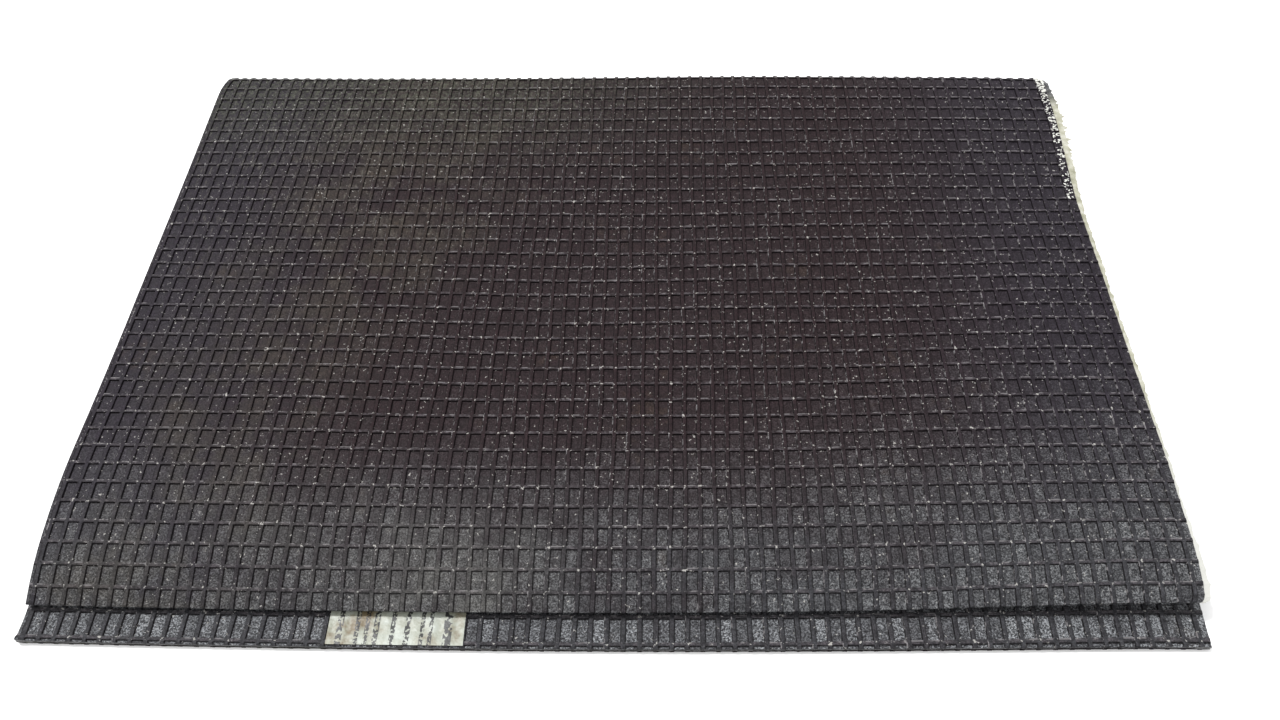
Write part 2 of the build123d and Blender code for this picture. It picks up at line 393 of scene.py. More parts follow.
class RibbedFace(Finish):
    """A ribbed rubber face in the making, and where a spot lies among its ribs and cells."""

    def __init__(self, name, outer):
        super().__init__(name)
        self.outer = outer
        self.x, self.s = self.mat_place()
        self.to_column = (self.x - (FIRST_COLUMN - COLUMN)).bounce(COLUMN / 2)
        self.to_row = (self.s + (ROW - line.first_rib)).bounce(ROW / 2)
        columns, rows = (self.x - FIRST_COLUMN) / COLUMN, (self.s - line.first_rib) / ROW
        self.in_column, self.in_row = columns - columns.whole(), rows - rows.whole()
        if not outer:
            self.in_row = 1 - self.in_row
        cell = self.node("CombineXYZ", {}, {0: columns.whole(), 1: rows.whole()})
        self.luck = self.node("TexWhiteNoise", {"noise_dimensions": "3D"}, {"Vector": cell})
        self.open_across = self.ease(self.to_column, 1.0 * MM, 1.4 * MM)
        self.open_along = self.ease(self.to_row, 0.8 * MM, 1.2 * MM)
        self.floor = self.open_across * self.open_along
        self.cloud = self.noise(self.solid(), 9.0, 4.0, 0.6)
        self.patch = self.noise(self.solid(), 30.0, 5.0, 0.7)
        self.dust = self.noise(self.solid(), 260.0, 4.0, 0.7)
        self.grit = self.noise(self.solid(), 1100.0, 3.0, 0.8)


def front_sheen_and_wear(face):
    """How far a face is greyed by painted sheen and by wear from handling, most of all at the
    flap's front and front right.
    """
    if not face.outer:
        return face.ease(face.patch, 0.3, 0.7, 0.75, 1.15)
    front = face.ease(face.s, FLAP_END - 0.12, FLAP_END + 0.02, 0.0, 0.9)
    # painted sheen at the flap's front right
    front_right_sheen = face.ease(face.x, 0.02, HALF_WIDTH)
    front_right_sheen = front_right_sheen * face.ease(face.s, FLAP_END - 0.20, FLAP_END - 0.02)
    return front * face.ease(face.patch, 0.3, 0.7, 0.55, 1.3) + front_right_sheen * 0.45


def bare_rubber(face):
    """Purple-black, with painted sheen: bluish towards both sides, and grey at the flap's front,
    where it is also worn. Dusty on the crosswise ribs, and silty in the cells with painted sparkle."""
    front = front_sheen_and_wear(face)
    # painted sheen: bluish grey towards both sides
    plain = face.mix(face.ease(abs(face.x), 0.14, 0.29) * 0.75, PLUM_BLACK, SIDE_SHEEN_BLUE)
    body = face.mix(front, plain, SHEEN_AND_WEAR_GREY)
    cross_rib = face.ease(face.to_row, 1.1 * MM, 0.7 * MM)
    dusty = cross_rib * face.open_across * face.ease(face.dust, 0.35, 0.65, 0.1, 1.0)
    body = face.mix(dusty * 0.75, body, RIB_DUST)
    # silt in the cell floors, with painted sparkle
    silt_sparkle = face.floor * face.ease(face.luck, 0.0, 1.0, 0.4, 1.0) * (front * 0.85 + 0.08)
    silt_sparkle_colour = OUTER_SILT_SPARKLE if face.outer else INNER_SILT_SPARKLE
    return face.mix(silt_sparkle * face.ease(face.grit, 0.40, 0.66), body, silt_sparkle_colour)


def flap_dirt(face, body):
    """Soil in a slanting band, streaks and moss at the back left, a scuff at the front."""
    x, s, patch = face.x, face.s, face.patch
    band = abs(x - (s * -0.27 + 0.01)) - face.ease(face.cloud, 0.3, 0.7, 0.0, 0.05)
    dirt = face.ease(band, 0.07, 0.0) * face.ease(patch, 0.38, 0.62)
    body = face.mix(dirt * 0.34, body, SOIL)
    along = face.node("CombineXYZ", {}, {0: x * 420.0, 1: s * 90.0})
    streaks = face.ease(face.noise(along, 1.0, 4.0, 0.7), 0.52, 0.68)
    back_left = face.ease(x, 0.06, -0.16) * face.ease(s, FLAP_END - 0.16, FLAP_END - 0.36)
    streaks = streaks * back_left * face.ease(patch, 0.35, 0.65)
    body = face.mix(streaks * 0.6, body, STREAKS)
    moss = face.ease(s, FLAP_START + 0.12, FLAP_START) * face.ease(x, 0.12, -0.16)
    moss = moss * face.ease(face.noise(face.solid(), 420.0, 4.0, 0.75), 0.42, 0.62)
    body = face.mix(moss * 0.7, body, MOSS)
    scuff = face.ease(abs(x + 0.09), 0.09, 0.01)
    scuff = scuff * face.ease(s, FLAP_END - 0.08, FLAP_END - 0.01)
    return face.mix(scuff * face.ease(patch, 0.3, 0.7) * 0.5, body, SCUFF)


def painted_corner_shade(face, body):
    """Painted shade: dark lines at the feet of the cell walls, in the corners that the light
    doesn't reach.
    """
    far = face.ease(face.s, FLAP_END - 0.22, FLAP_END - 0.34) if face.outer else 0.0
    side_foot = face.ease(abs(abs(face.in_column - 0.5) - 0.345), 0.045, 0.015)
    side_foot = side_foot * face.open_along.largest(far)
    rear_foot = face.ease(abs(face.in_row - 0.095), 0.035, 0.012) * face.open_across
    shade_lines = side_foot.largest(rear_foot) * face.ease(face.dust, 0.3, 0.6, 0.5, 1.0)
    return face.mix(shade_lines * 0.85, body, CORNER_SHADE)


def painted_rib_highlights(face, body):
    """Painted highlights: pale slivers on the rib walls that face the light, pale dashes on the lit
    back edges of the crosswise ribs, and pale glinting specks.
    """
    lit_sliver = face.ease(abs(face.in_column - 0.86), 0.05, 0.015) * face.ease(face.luck, 0.3, 0.65)
    lit_sliver = lit_sliver * face.ease(face.noise(face.solid(), 300.0, 3.0, 0.7), 0.52, 0.6)
    lit_dash = face.ease(abs(face.in_row - 0.95), 0.045, 0.015) * face.open_across
    lit_dash = lit_dash * face.ease(face.noise(face.solid(), 150.0, 3.0, 0.7), 0.5, 0.6)
    body = face.mix((lit_sliver * 0.8).largest(lit_dash * 0.5), body, LIT_SLIVER)
    crossing = face.ease(face.to_column, 1.3 * MM, 0.7 * MM)
    crossing = crossing * face.ease(face.to_row, 1.2 * MM, 0.6 * MM)
    glint = face.noise(face.solid(), 520.0, 2.0, 0.6)
    glint_speck = face.ease(glint + crossing * 0.08, 0.67, 0.73)
    return face.mix(glint_speck * 0.75, body, GLINT_SPECK)


def worn_rubber(name, outer):
    """Black rubber with a ribbed face. outer is True on the face that lies uppermost."""
    face = RibbedFace(name, outer)
    body = bare_rubber(face)
    if outer:
        body = flap_dirt(face, body)
    rust = face.ease(face.patch, 0.56, 0.7) * face.ease(face.cloud, 0.45, 0.6) * face.floor
    body = face.mix(rust * 0.22, body, RUST)
    mottle = face.ease(face.dust, 0.35, 0.65, 0.75, 1.25)
    body = face.shade(body, face.ease(face.grit, 0.3, 0.7, 0.4, 1.6) * mottle)
    # painted shade at the feet of the cell walls, then painted highlights on the ribs
    body = painted_rib_highlights(face, painted_corner_shade(face, body))
    rounding = face.ease(face.to_column, 0.5 * MM, 2.0 * MM)
    rounding = rounding * face.ease(face.to_row, 0.3 * MM, 1.8 * MM)
    height = face.grit * 0.12 + face.dust * 0.15 - rounding * 0.45
    gloss = face.ease(face.dust, 0.25, 0.8, 0.42, 0.7)
    return face.surface((height, 1.0 * MM), Base_Color=body, Roughness=gloss, IOR=1.4,
                        Specular_IOR_Level=0.11)


CREAM, FRONT_CREAM = (0.52, 0.52, 0.48), (0.44, 0.44, 0.41)
DARK_SEAL_TONE, GREY_SEAL_TONE = (0.014, 0.013, 0.013), (0.085, 0.085, 0.088)
AGED_CREAM = [(0.3, (0.19, 0.19, 0.13)), (0.5, (0.30, 0.295, 0.225)), (0.7, (0.42, 0.415, 0.36))]
BARE_START, BARE_FULL = FLAP_START + 0.014, FLAP_START + 0.036  # the bead is not darkened from here


def sealant_finish(name, edge):
    """Cream sealant, glossy and a little cloudy. On an edge it is dark and grey in patches, except
    where it stands out of the flap's right side."""
    seal = Finish(name)
    colour = CREAM
    if edge:
        x, s = seal.mat_place()
        cloud = seal.noise(seal.solid(), 160.0, 3.0)
        colour = seal.node("ValToRGB", {"stops": AGED_CREAM}, {0: cloud})
        front = seal.ease(s, FLAP_END - 0.16, FLAP_END - 0.03)
        colour = seal.mix(front, colour, FRONT_CREAM)
        clear = seal.ease(s, BARE_START, BARE_FULL)
        clear = clear * seal.ease(x, HALF_WIDTH - 0.3 * MM, HALF_WIDTH + 0.3 * MM)
        seal_patches = seal.ease(seal.noise(seal.solid(), 700.0, 3.0), 0.45, 0.62)
        colour = seal.mix(clear, seal.mix(seal_patches, DARK_SEAL_TONE, GREY_SEAL_TONE), colour)
    height = seal.noise(seal.solid(), 700.0, 3.0)
    return seal.surface((height, 0.5 * MM), Base_Color=colour, Roughness=0.28, IOR=1.45)


LABEL_SHIFT = 2.4 * MM  # the label lies this far right of its place in the frame
LABEL_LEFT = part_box("rating_label")[0].x + LABEL_SHIFT
# Rows of marks on the label, in millimetres: from its left side, half a row's height, and
# the size of the marks
LABEL_LINES = ((6, 1.5, 1.8), (15, 1.1, 1.2), (20, 1.1, 1.2), (25, 1.4, 1.5), (34, 1.2, 1.3),
               (42, 1.4, 1.5), (50, 1.0, 1.2), (54.5, 1.0, 1.2), (63.5, 2.1, 2.5))
STAINED_FOIL = [(0.36, (0.33, 0.355, 0.32)), (0.5, (0.24, 0.25, 0.205)),
                (0.64, (0.12, 0.092, 0.050))]
INK = (0.010, 0.010, 0.011)


def label_finish():
    """Silvery foil, stained, with rows of marks that read as nothing."""
    foil = Finish("label_foil")
    x, s = foil.mat_place()
    stain = foil.noise(foil.solid(), 60.0, 4.0, 0.65)
    left = foil.ease(x, LABEL_LEFT + 40 * MM, LABEL_LEFT)
    colour = foil.node("ValToRGB", {"stops": STAINED_FOIL}, {0: stain + left * 0.08})
    ink = 0.0
    for offset, half, size in LABEL_LINES:
        beside = foil.ease(abs(x - (LABEL_LEFT + offset * MM)), (half + 0.2) * MM, half * MM)
        words = foil.node("CombineXYZ", {}, {0: x * (0.9 / (half * MM)), 1: s / (size * MM),
                                             2: offset})
        strokes = foil.noise(words, 1.0, 1.0)
        ink = beside * foil.ease(strokes, 0.45, 0.49) + ink
    colour = foil.mix(ink.smallest(0.95), colour, INK)
    crease = foil.noise(foil.solid(), 150.0, 3.0)
    return foil.surface((crease, 0.8 * MM), Base_Color=colour, Roughness=0.45)


def moulded_rubber(name, colour, roughness=0.55):
    """Smooth moulded rubber with a fine matt skin."""
    rubber = Finish(name)
    cloud = rubber.noise(rubber.solid(), 60.0, 4.0)
    grain = rubber.noise(rubber.solid(), 2200.0, 2.0)
    tint = rubber.shade(rubber.mix(cloud, colour, tuple(c * 1.8 for c in colour)),
                        rubber.ease(grain, 0.2, 0.8, 0.8, 1.2))
    gloss = rubber.ease(cloud, 0.2, 0.8, roughness - 0.08, roughness + 0.1)
    return rubber.surface((grain, 0.05 * MM), Base_Color=tint, Roughness=gloss)


def plain_metal(name, colour):
    """Drawn metal with a few scratches."""
    metal = Finish(name)
    scratch = metal.noise(metal.solid(), 1800.0, 3.0)
    tint = metal.mix(scratch, colour, tuple(c * 0.7 for c in colour))
    gloss = metal.ease(scratch, 0.3, 0.7, 0.25, 0.45)
    return metal.surface((scratch, 0.02 * MM), Base_Color=tint, Roughness=gloss, Metallic=1.0)


THREAD = 0.4 * MM  # half of the spacing of the cloth's threads


def woven_cloth():
    """The open cloth that the heating wire is laid on."""
    cloth = Finish("carrier_weave")
    x, y = [cloth.node("SeparateXYZ", {}, {0: cloth.solid()}, axis) for axis in (0, 1)]
    weave = (x.bounce(THREAD) / THREAD) * (y.bounce(THREAD) / THREAD)
    tint = cloth.mix(weave, (0.62, 0.60, 0.54), (0.40, 0.38, 0.33))
    return cloth.surface((weave, 0.1 * MM), Base_Color=tint, Roughness=0.85)


# ---------------------------------------------------------------- meshes

SHARPEST_SMOOTH = radians(28)


def new_piece(name, points, faces, finish, place=None, bake=None):
    """A piece from its points and faces, with the maps that its material and bake use."""
    mesh = bpy.data.meshes.new(name)
    mesh.from_pydata([tuple(p) for p in points], [], faces)
    mesh.update()
    corners = np.empty(len(mesh.loops), dtype=np.int32)
    mesh.loops.foreach_get("vertex_index", corners)
    if place is not None:
        layer = mesh.uv_layers.new(name="place")
        layer.uv.foreach_set("vector", np.asarray(place, np.float32)[corners].ravel())
    if bake is not None:
        layer = mesh.uv_layers.new(name="OFBake")
        layer.uv.foreach_set("vector", np.asarray(bake, np.float32).ravel())
    mesh.materials.append(finish)
    mesh.shade_smooth()
    mesh.set_sharp_from_angle(angle=SHARPEST_SMOOTH)
    piece = bpy.data.objects.new(name, mesh)
    bpy.context.scene.collection.objects.link(piece)
    return piece


def tidy_normals(piece):
    """Turns every face outwards."""
    shape = bmesh.new()
    shape.from_mesh(piece.data)
    bmesh.ops.recalc_face_normals(shape, faces=shape.faces)
    shape.to_mesh(piece.data)
    shape.free()


def ring_faces(first, size, count):
    """Faces of a closed bar through count rings of size points, from a first point on."""
    faces = []
    for j in range(count - 1):
        for i in range(size):
            a, b = first + j * size + i, first + j * size + (i + 1) % size
            faces.append([a, b, b + size, a + size])
    faces.append([first + i for i in reversed(range(size))])
    faces.append([first + (count - 1) * size + i for i in range(size)])
    return faces


def thin_sheet(name, xs, ss, upper, lower, finish, mapped):
    """A sheet over a grid of x and s, between two levels. mapped gives it a place map."""
    X, S = np.meshgrid(xs, ss)
    points = np.concatenate([spots(X, S, upper), spots(X, S, lower)])
    wide, rows = len(xs), len(ss)
    count, faces = wide * rows, []
    for j in range(rows - 1):
        for i in range(wide - 1):
            a = j * wide + i
            quad = [a, a + 1, a + wide + 1, a + wide]
            faces += [quad, [count + c for c in reversed(quad)]]
    rim = [i for i in range(wide)] + [j * wide + wide - 1 for j in range(1, rows)]
    rim += [(rows - 1) * wide + i for i in reversed(range(wide - 1))]
    rim += [j * wide for j in reversed(range(1, rows - 1))]
    for a, b in zip(rim, rim[1:] + rim[:1]):
        faces.append([b, a, a + count, b + count])
    place = np.tile(np.stack([X, S], -1).reshape(-1, 2), (2, 1)) if mapped else None
    piece = new_piece(name, points, faces, finish, place)
    tidy_normals(piece)
    return piece


RIB_HALF, WALL = 1.05 * MM, 0.3 * MM  # lengthwise ribs, and the slope of a cell's wall
CROSS_HALF = 0.85 * MM  # crosswise ribs
CELL_DEPTH = 0.95 * MM
EDGE_ROUND = 0.5 * MM
EDGE_DROP = 0.35 * MM  # ribs at the mat's own edges are lower by this
RIB_WEAR = 0.12 * MM  # rib tops are uneven by this
THINNEST = 0.3 * MM  # rubber left under a cell at the mat's two ends
AT_EDGE = 0.1 * MM  # a spot this near an edge is on it
BACK_STEP = 24  # stations of the face to one of its hidden back


def across_stations():
    """x over the ribbed face, and 1 where it can be a cell's floor."""
    stations = {-HALF_WIDTH: 0, -HALF_WIDTH + EDGE_ROUND: 0}
    for i in range(COLUMNS):
        left = FIRST_COLUMN + i * COLUMN
        right = left + COLUMN
        stations |= {left: 0, left + RIB_HALF: 0, left + RIB_HALF + WALL: 1,
                     (left + right) / 2: 1, right - RIB_HALF - WALL: 1, right - RIB_HALF: 0}
    stations = {x: low for x, low in stations.items() if x < HALF_WIDTH - 0.2 * MM}
    stations[HALF_WIDTH] = stations[max(stations)]
    return sorted(stations.items())


def along_stations(start, stop, fine):
    """s from start to stop, and 1 where it can be a cell's floor."""
    stations = {start: 1, stop: 1}
    rib = int((start - line.first_rib) / ROW) - 2
    while True:
        middle = line.first_rib + rib * ROW
        if middle > stop + ROW:
            break
        near, far = middle + CROSS_HALF, middle + ROW - CROSS_HALF
        steps = {near: 0, near + WALL: 1, mid_row(rib): 1, far - WALL: 1, far: 0}
        if fine:
            for share in (0.25, 0.75):
                steps[middle + share * ROW] = 1
            steps[middle] = 0
        for s, low in steps.items():
            if start + 0.05 * MM < s < stop - 0.05 * MM:
                stations[s] = low
        rib += 1
    for end, inward in ((0.0, 1), (FLAP_END, -1)):
        if end in stations:
            on_rib = abs((end - line.first_rib + ROW / 2) % ROW - ROW / 2) < CROSS_HALF
            stations[end] = stations[end + inward * EDGE_ROUND] = 0 if on_rib else 1
    return sorted(stations.items())


def face_levels(xs, x_low, ss, s_low, seed):
    """Heights of a ribbed face over the middle of the mat, on a grid of x and s."""
    floor = np.outer(s_low, x_low)
    row_of = np.floor((ss - line.first_rib) / ROW).astype(int) + 1
    cells = np.random.default_rng(6).uniform(0.8, 1.1, (row_of.max() + 1, COLUMNS + 1))
    column_of = np.clip(((xs - FIRST_COLUMN) / COLUMN).astype(int), 0, COLUMNS)
    depth = CELL_DEPTH * cells[row_of][:, column_of]
    at_side = HALF_WIDTH - np.abs(xs) < AT_EDGE
    at_end = (ss < AT_EDGE) | (ss > FLAP_END - AT_EDGE)
    drop = np.where(at_side, EDGE_DROP, 0)[None, :] + np.where(at_end, EDGE_DROP, 0)[:, None]
    top = HALF_MAT - floor * depth - drop * (1 - floor)
    chance = np.random.default_rng(seed)
    top = top - (1 - floor) * chance.uniform(0, RIB_WEAR, floor.shape)
    if at_end.any():
        top = np.maximum(top, HALF_CORE + THINNEST)
    return top


# Bake map of a skin, as shares of a square: where each part of it starts, and its size
MAP_LEFT, MAP_WIDE = 0.01, 0.98
FACE_LOW, FACE_TALL = 0.14, 0.84
BACK_LOW, BACK_TALL = 0.02, 0.07
SIDE_RIMS, SIDE_RIM_WIDE = (0.002, 0.993), 0.005
END_RIMS, END_RIM_TALL = (0.105, 0.12), 0.01


def ribbed_skin(name, start, stop, side, finish, fine, seed):
    """One skin between two places along the mat. side is -1 for the outer face, 1 for the inner."""
    xs, x_low = np.array(across_stations()).T
    ss, s_low = np.array(along_stations(start, stop, fine)).T
    top = face_levels(xs, x_low, ss, s_low, seed)
    back = np.unique(np.concatenate([np.arange(0, len(xs), BACK_STEP), [len(xs) - 1]]))
    n_top, n_back, rows = len(xs), len(back), len(ss)
    X, S = np.meshgrid(xs, ss)
    XB, SB = np.meshgrid(xs[back], ss)
    points = np.concatenate([spots(X, S, side * top), spots(XB, SB, side * HALF_CORE)])
    place = np.concatenate([np.stack([X, S], -1).reshape(-1, 2),
                            np.stack([XB, SB], -1).reshape(-1, 2)])
    under = n_top * rows
    faces, maps = [], []
    u = MAP_LEFT + MAP_WIDE * ((xs + HALF_WIDTH) / (2 * HALF_WIDTH))
    v_face = FACE_LOW + FACE_TALL * ((ss - start) / (stop - start))
    v_back = BACK_LOW + BACK_TALL * ((ss - start) / (stop - start))

    def add(corners, uvs, flip):
        """One face, turned over if it has to be."""
        faces.append(corners[::-1] if flip else corners)
        maps.extend(uvs[::-1] if flip else uvs)

    outward = side > 0
    for j in range(rows - 1):
        low, high = v_face[j], v_face[j + 1]
        for i in range(n_top - 1):
            a = j * n_top + i
            add([a, a + 1, a + n_top + 1, a + n_top],
                [(u[i], low), (u[i + 1], low), (u[i + 1], high), (u[i], high)], not outward)
        for i in range(n_back - 1):
            a = under + j * n_back + i
            left, right, below, above = u[back[i]], u[back[i + 1]], v_back[j], v_back[j + 1]
            add([a, a + 1, a + n_back + 1, a + n_back],
                [(left, below), (right, below), (right, above), (left, above)], outward)
        for i, b, rim in ((0, 0, SIDE_RIMS[0]), (n_top - 1, n_back - 1, SIDE_RIMS[1])):
            corners = [j * n_top + i, (j + 1) * n_top + i,
                       under + (j + 1) * n_back + b, under + j * n_back + b]
            far = rim + SIDE_RIM_WIDE
            add(corners, [(rim, low), (rim, high), (far, high), (far, low)], (i > 0) == outward)
    for j, rim in ((0, END_RIMS[0]), (rows - 1, END_RIMS[1])):
        corners = [j * n_top + i for i in range(n_top)]
        uvs = [(u[i], rim) for i in range(n_top)]
        corners += [under + j * n_back + i for i in reversed(range(n_back))]
        uvs += [(u[i], rim + END_RIM_TALL) for i in reversed(back)]
        add(corners, uvs, (j == 0) == outward)
    return new_piece(name, points, faces, finish, place, maps)


def waves(s, seed, sizes):
    """A sum of sine waves, the same for the same place."""
    chance = np.random.default_rng(seed)
    return sum(np.sin(s * 2 * pi / size + chance.uniform(0, 6.28)) for size in sizes) / len(sizes)


def bead_reach(s):
    """How far the sealant stands out of the right edge: most of all past the fold."""
    rough = 0.5 + 0.5 * waves(s, 3, (0.083, 0.031, 0.0117))
    flake = max(0.0, waves(s, 5, (0.0071, 0.0043, 0.0193)))
    tatter = max(0.0, waves(s, 9, (0.0039, 0.0061, 0.0137)))
    tatter = tatter * float(ease(-abs(s - FLAP_START - 0.055), -0.05, -0.025))
    flap = float(ease(s, FLAP_START - 0.04, FLAP_START + 0.03))
    past_fold = float(ease(-s, -FLAP_START - 0.21, -FLAP_START - 0.05)) * flap
    corner = float(ease(s, FLAP_END - 0.05, FLAP_END - 0.025))
    body = 0.9 * float(ease(-s, -FLAP_END + 0.06, -FLAP_END + 0.16))
    steady = flap * (1.0 + body + 1.2 * rough + 0.9 * flake)
    return (0.6 + steady + 2.0 * past_fold + 1.5 * corner + 3.5 * tatter) * MM


def bead_bend(s):
    """How far the bead is bent towards the inner face."""
    return 0.8 * MM * waves(s, 8, (0.047, 0.019, 0.0079))


SEAL_WIDTH = 8 * MM
SEAL_INSET = 0.15 * MM  # from the edge of the skins
BEAD_INSET = 0.2 * MM
SEAL_STEP = 1.3 * MM
BARS = 60  # steps across a free end


def seal_strips(name, start, stop, finish):
    """The sealant between the skins: a strip down each side, and one across at a free end."""
    points, faces, place = [], [], []
    ss = np.linspace(start, stop, max(2, int((stop - start) / SEAL_STEP)) + 1)
    thick = HALF_CORE

    def strip(rings):
        """A closed bar through rings of x, s and level, all of one length."""
        first, size = sum(len(p) for p in points), len(rings[0])
        for ring in rings:
            ring = np.array(ring)
            points.append(spots(ring[:, 0], ring[:, 1], ring[:, 2]))
            place.append(ring[:, :2])
        faces.extend(ring_faces(first, size, len(rings)))

    inside, edge = -HALF_WIDTH + SEAL_WIDTH, -HALF_WIDTH + SEAL_INSET
    strip([[(inside, s, -thick), (inside, s, thick), (edge, s, thick), (edge, s, -thick)]
           for s in ss])
    right, inside, edge = [], HALF_WIDTH - SEAL_WIDTH, HALF_WIDTH - BEAD_INSET
    for s in ss:
        reach, bend = bead_reach(s), bead_bend(s)
        right.append([(inside, s, thick), (inside, s, -thick), (edge, s, -thick),
                      (edge + 0.45 * reach, s, -0.9 * thick + 0.5 * bend),
                      (edge + reach, s, -0.25 * thick + bend),
                      (edge + reach, s, 0.25 * thick + bend),
                      (edge + 0.5 * reach, s, 0.8 * thick + 0.5 * bend), (edge, s, thick)])
    strip(right)
    for end, inward in ((0.0, 1), (FLAP_END, -1)):
        if abs((start if inward > 0 else stop) - end) < 1e-6:
            near, far = end + inward * SEAL_INSET, end + inward * SEAL_WIDTH
            bars = []
            for x in np.linspace(-HALF_WIDTH + SEAL_WIDTH, HALF_WIDTH - SEAL_WIDTH, BARS):
                ring = [(x, near, -thick), (x, far, -thick), (x, far, thick), (x, near, thick)]
                bars.append(ring if inward > 0 else ring[::-1])
            strip(bars)
    piece = new_piece(name, np.concatenate(points), faces, finish, np.concatenate(place))
    tidy_normals(piece)
    return piece


LABEL_START = 0.7 * MM  # from the front edge
LABEL_GAP, LABEL_THICK = 0.03 * MM, 0.12 * MM
LABEL_DIP = 0.42 * MM  # pressed into the cells by this


def label_sheet(finish):
    """The label, pressed down on the ribs of the inner face."""
    low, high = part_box("rating_label")
    xs = np.linspace(low.x, high.x, 73) + LABEL_SHIFT
    ss = np.linspace(LABEL_START, high.y - front_low.y, 111)
    X, S = np.meshgrid(xs, ss)
    to_column = np.abs((X - FIRST_COLUMN + COLUMN / 2) % COLUMN - COLUMN / 2)
    to_row = np.abs((S - line.first_rib + ROW / 2) % ROW - ROW / 2)
    dip = ease(to_column, RIB_HALF, COLUMN / 2) * ease(to_row, CROSS_HALF, ROW / 2)
    level = HALF_MAT + LABEL_GAP - LABEL_DIP * dip
    return thin_sheet("rating_label_sheet", xs, ss, level + LABEL_THICK, level, finish, True)


CLOTH_TOP, CLOTH_UNDER = -0.36 * MM, -0.72 * MM
HINGE_GAP = 0.4 * MM  # from the cloth and the wire to a hinge line
LIP_GAP = 8.4 * MM  # from the cloth to the flap's front edge, past the gap above
WIRE_RADIUS = 0.5 * MM
WIRE_LEVEL = 0.2 * MM
WIRE_SIDES = 8
RUNS = 28
TURN_GAP = 9.6 * MM  # from the wire's U-turns to the flap's front edge, past the gap above
TURN_SHARE = 0.45  # radius of a U-turn's corner, in run spacings


def flap_cloth(body, start, stop, finish):
    """The carrier cloth in one part of the flap."""
    low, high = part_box(f"{body}_carrier_cloth")
    ss = np.linspace(start, stop, max(3, int((stop - start) / (12 * MM))))
    xs = np.linspace(low.x, high.x, 31)
    return thin_sheet(f"{body}_cloth", xs, ss, CLOTH_TOP, CLOTH_UNDER, finish, False)


def tube(routes, radius, name, finish):
    """Round wire along routes of x and s, in the core of the mat."""
    points, faces = [], []
    for route in routes:
        first = sum(len(p) for p in points)
        x, s = np.array(route, float).T
        middle, above = spots(x, s, WIRE_LEVEL), spots(x, s, WIRE_LEVEL + radius)
        for k in range(len(route)):
            ahead = middle[min(k + 1, len(route) - 1)] - middle[max(k - 1, 0)]
            up = above[k] - middle[k]
            side = np.cross(ahead, up)
            side *= radius / np.linalg.norm(side)
            ring = [middle[k] + side * cos(a) + up * sin(a)
                    for a in np.linspace(0, 2 * pi, WIRE_SIDES, endpoint=False)]
            points.append(np.array(ring))
        faces += ring_faces(first, WIRE_SIDES, len(route))
    piece = new_piece(name, np.concatenate(points), faces, finish)
    tidy_normals(piece)
    return piece


def flap_wire(body, start, stop, finish):
    """The heating wire in one part of the flap, with its U-turns at the lip."""
    low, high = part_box(f"{body}_heating_wire")
    xs = np.linspace(low.x + WIRE_RADIUS, high.x - WIRE_RADIUS, RUNS)
    if body == "flap_lip":
        routes = []
        stop -= TURN_GAP
        for a, b in zip(xs[::2], xs[1::2]):
            bend = TURN_SHARE * (b - a)
            out = [(a, s) for s in np.linspace(start, stop - bend, 4)]
            arc = np.linspace(0, pi / 2, 7)[1:]
            out += [(a + bend * (1 - cos(t)), stop - bend + bend * sin(t)) for t in arc]
            routes.append(out + [(a + b - x, s) for x, s in reversed(out)])
    else:
        ss = np.linspace(start, stop, max(3, int((stop - start) / (8 * MM))))
        routes = [[(x, s) for s in ss] for x in xs]
    return tube(routes, WIRE_RADIUS, f"{body}_wire", finish)


CRUMBS = 330
CRUMBS_BACK, CRUMBS_SPAN = 2 * MM, 135 * MM  # before the flap's start, and past that
CRUMBS_INSET, CRUMBS_BAND = 0.9, 4.6  # from the right edge, in millimetres


def crumbs(finish):
    """Sealant crumbs stuck to the flap near the fold, thinning out towards the front."""
    chance = np.random.default_rng(11)
    shape = bmesh.new()
    for _ in range(CRUMBS):
        s = FLAP_START - CRUMBS_BACK + CRUMBS_SPAN * chance.uniform() ** 2.3
        x = HALF_WIDTH - (CRUMBS_INSET + CRUMBS_BAND * chance.uniform()) * MM
        size = chance.uniform(0.3, 0.75) * MM
        middle = Vector(spots([x], [s], [-HALF_MAT])[0])
        made = bmesh.ops.create_icosphere(shape, subdivisions=1, radius=1.0)
        stretch = Vector((chance.uniform(0.7, 1.4), chance.uniform(0.7, 1.8), 0.5)) * size
        turn = Matrix.Rotation(chance.uniform(0, pi), 3, "Z")
        for vertex in made["verts"]:
            jitter = Vector(chance.uniform(-0.2, 0.2, 3))
            vertex.co = turn @ ((vertex.co + jitter) * stretch) + middle
    mesh = bpy.data.meshes.new("sealant_crumbs")
    shape.to_mesh(mesh)
    shape.free()
    mesh.materials.append(finish)
    piece = bpy.data.objects.new("sealant_crumbs", mesh)
    bpy.context.scene.collection.objects.link(piece)
    return piece


def bend_at(piece, hinge):
    """Bakes the piece's place into its points. The hinge's reach and ends are worked out but not
    used.
    """
    i = HINGES.index(hinge) + 1
    reach = line.reach[i] - 0.8 * MM
    ends = [line.at(line.s[i] - reach), line.at(line.s[i] + reach)]
    BODIES[i - 1]
    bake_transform(piece)


# ---------------------------------------------------------------- making the mat

outer_rubber = worn_rubber("worn_rubber", True)
inner_rubber = worn_rubber("inner_rubber", False)
sealant = sealant_finish("cream_sealant", True)
foil = label_finish()

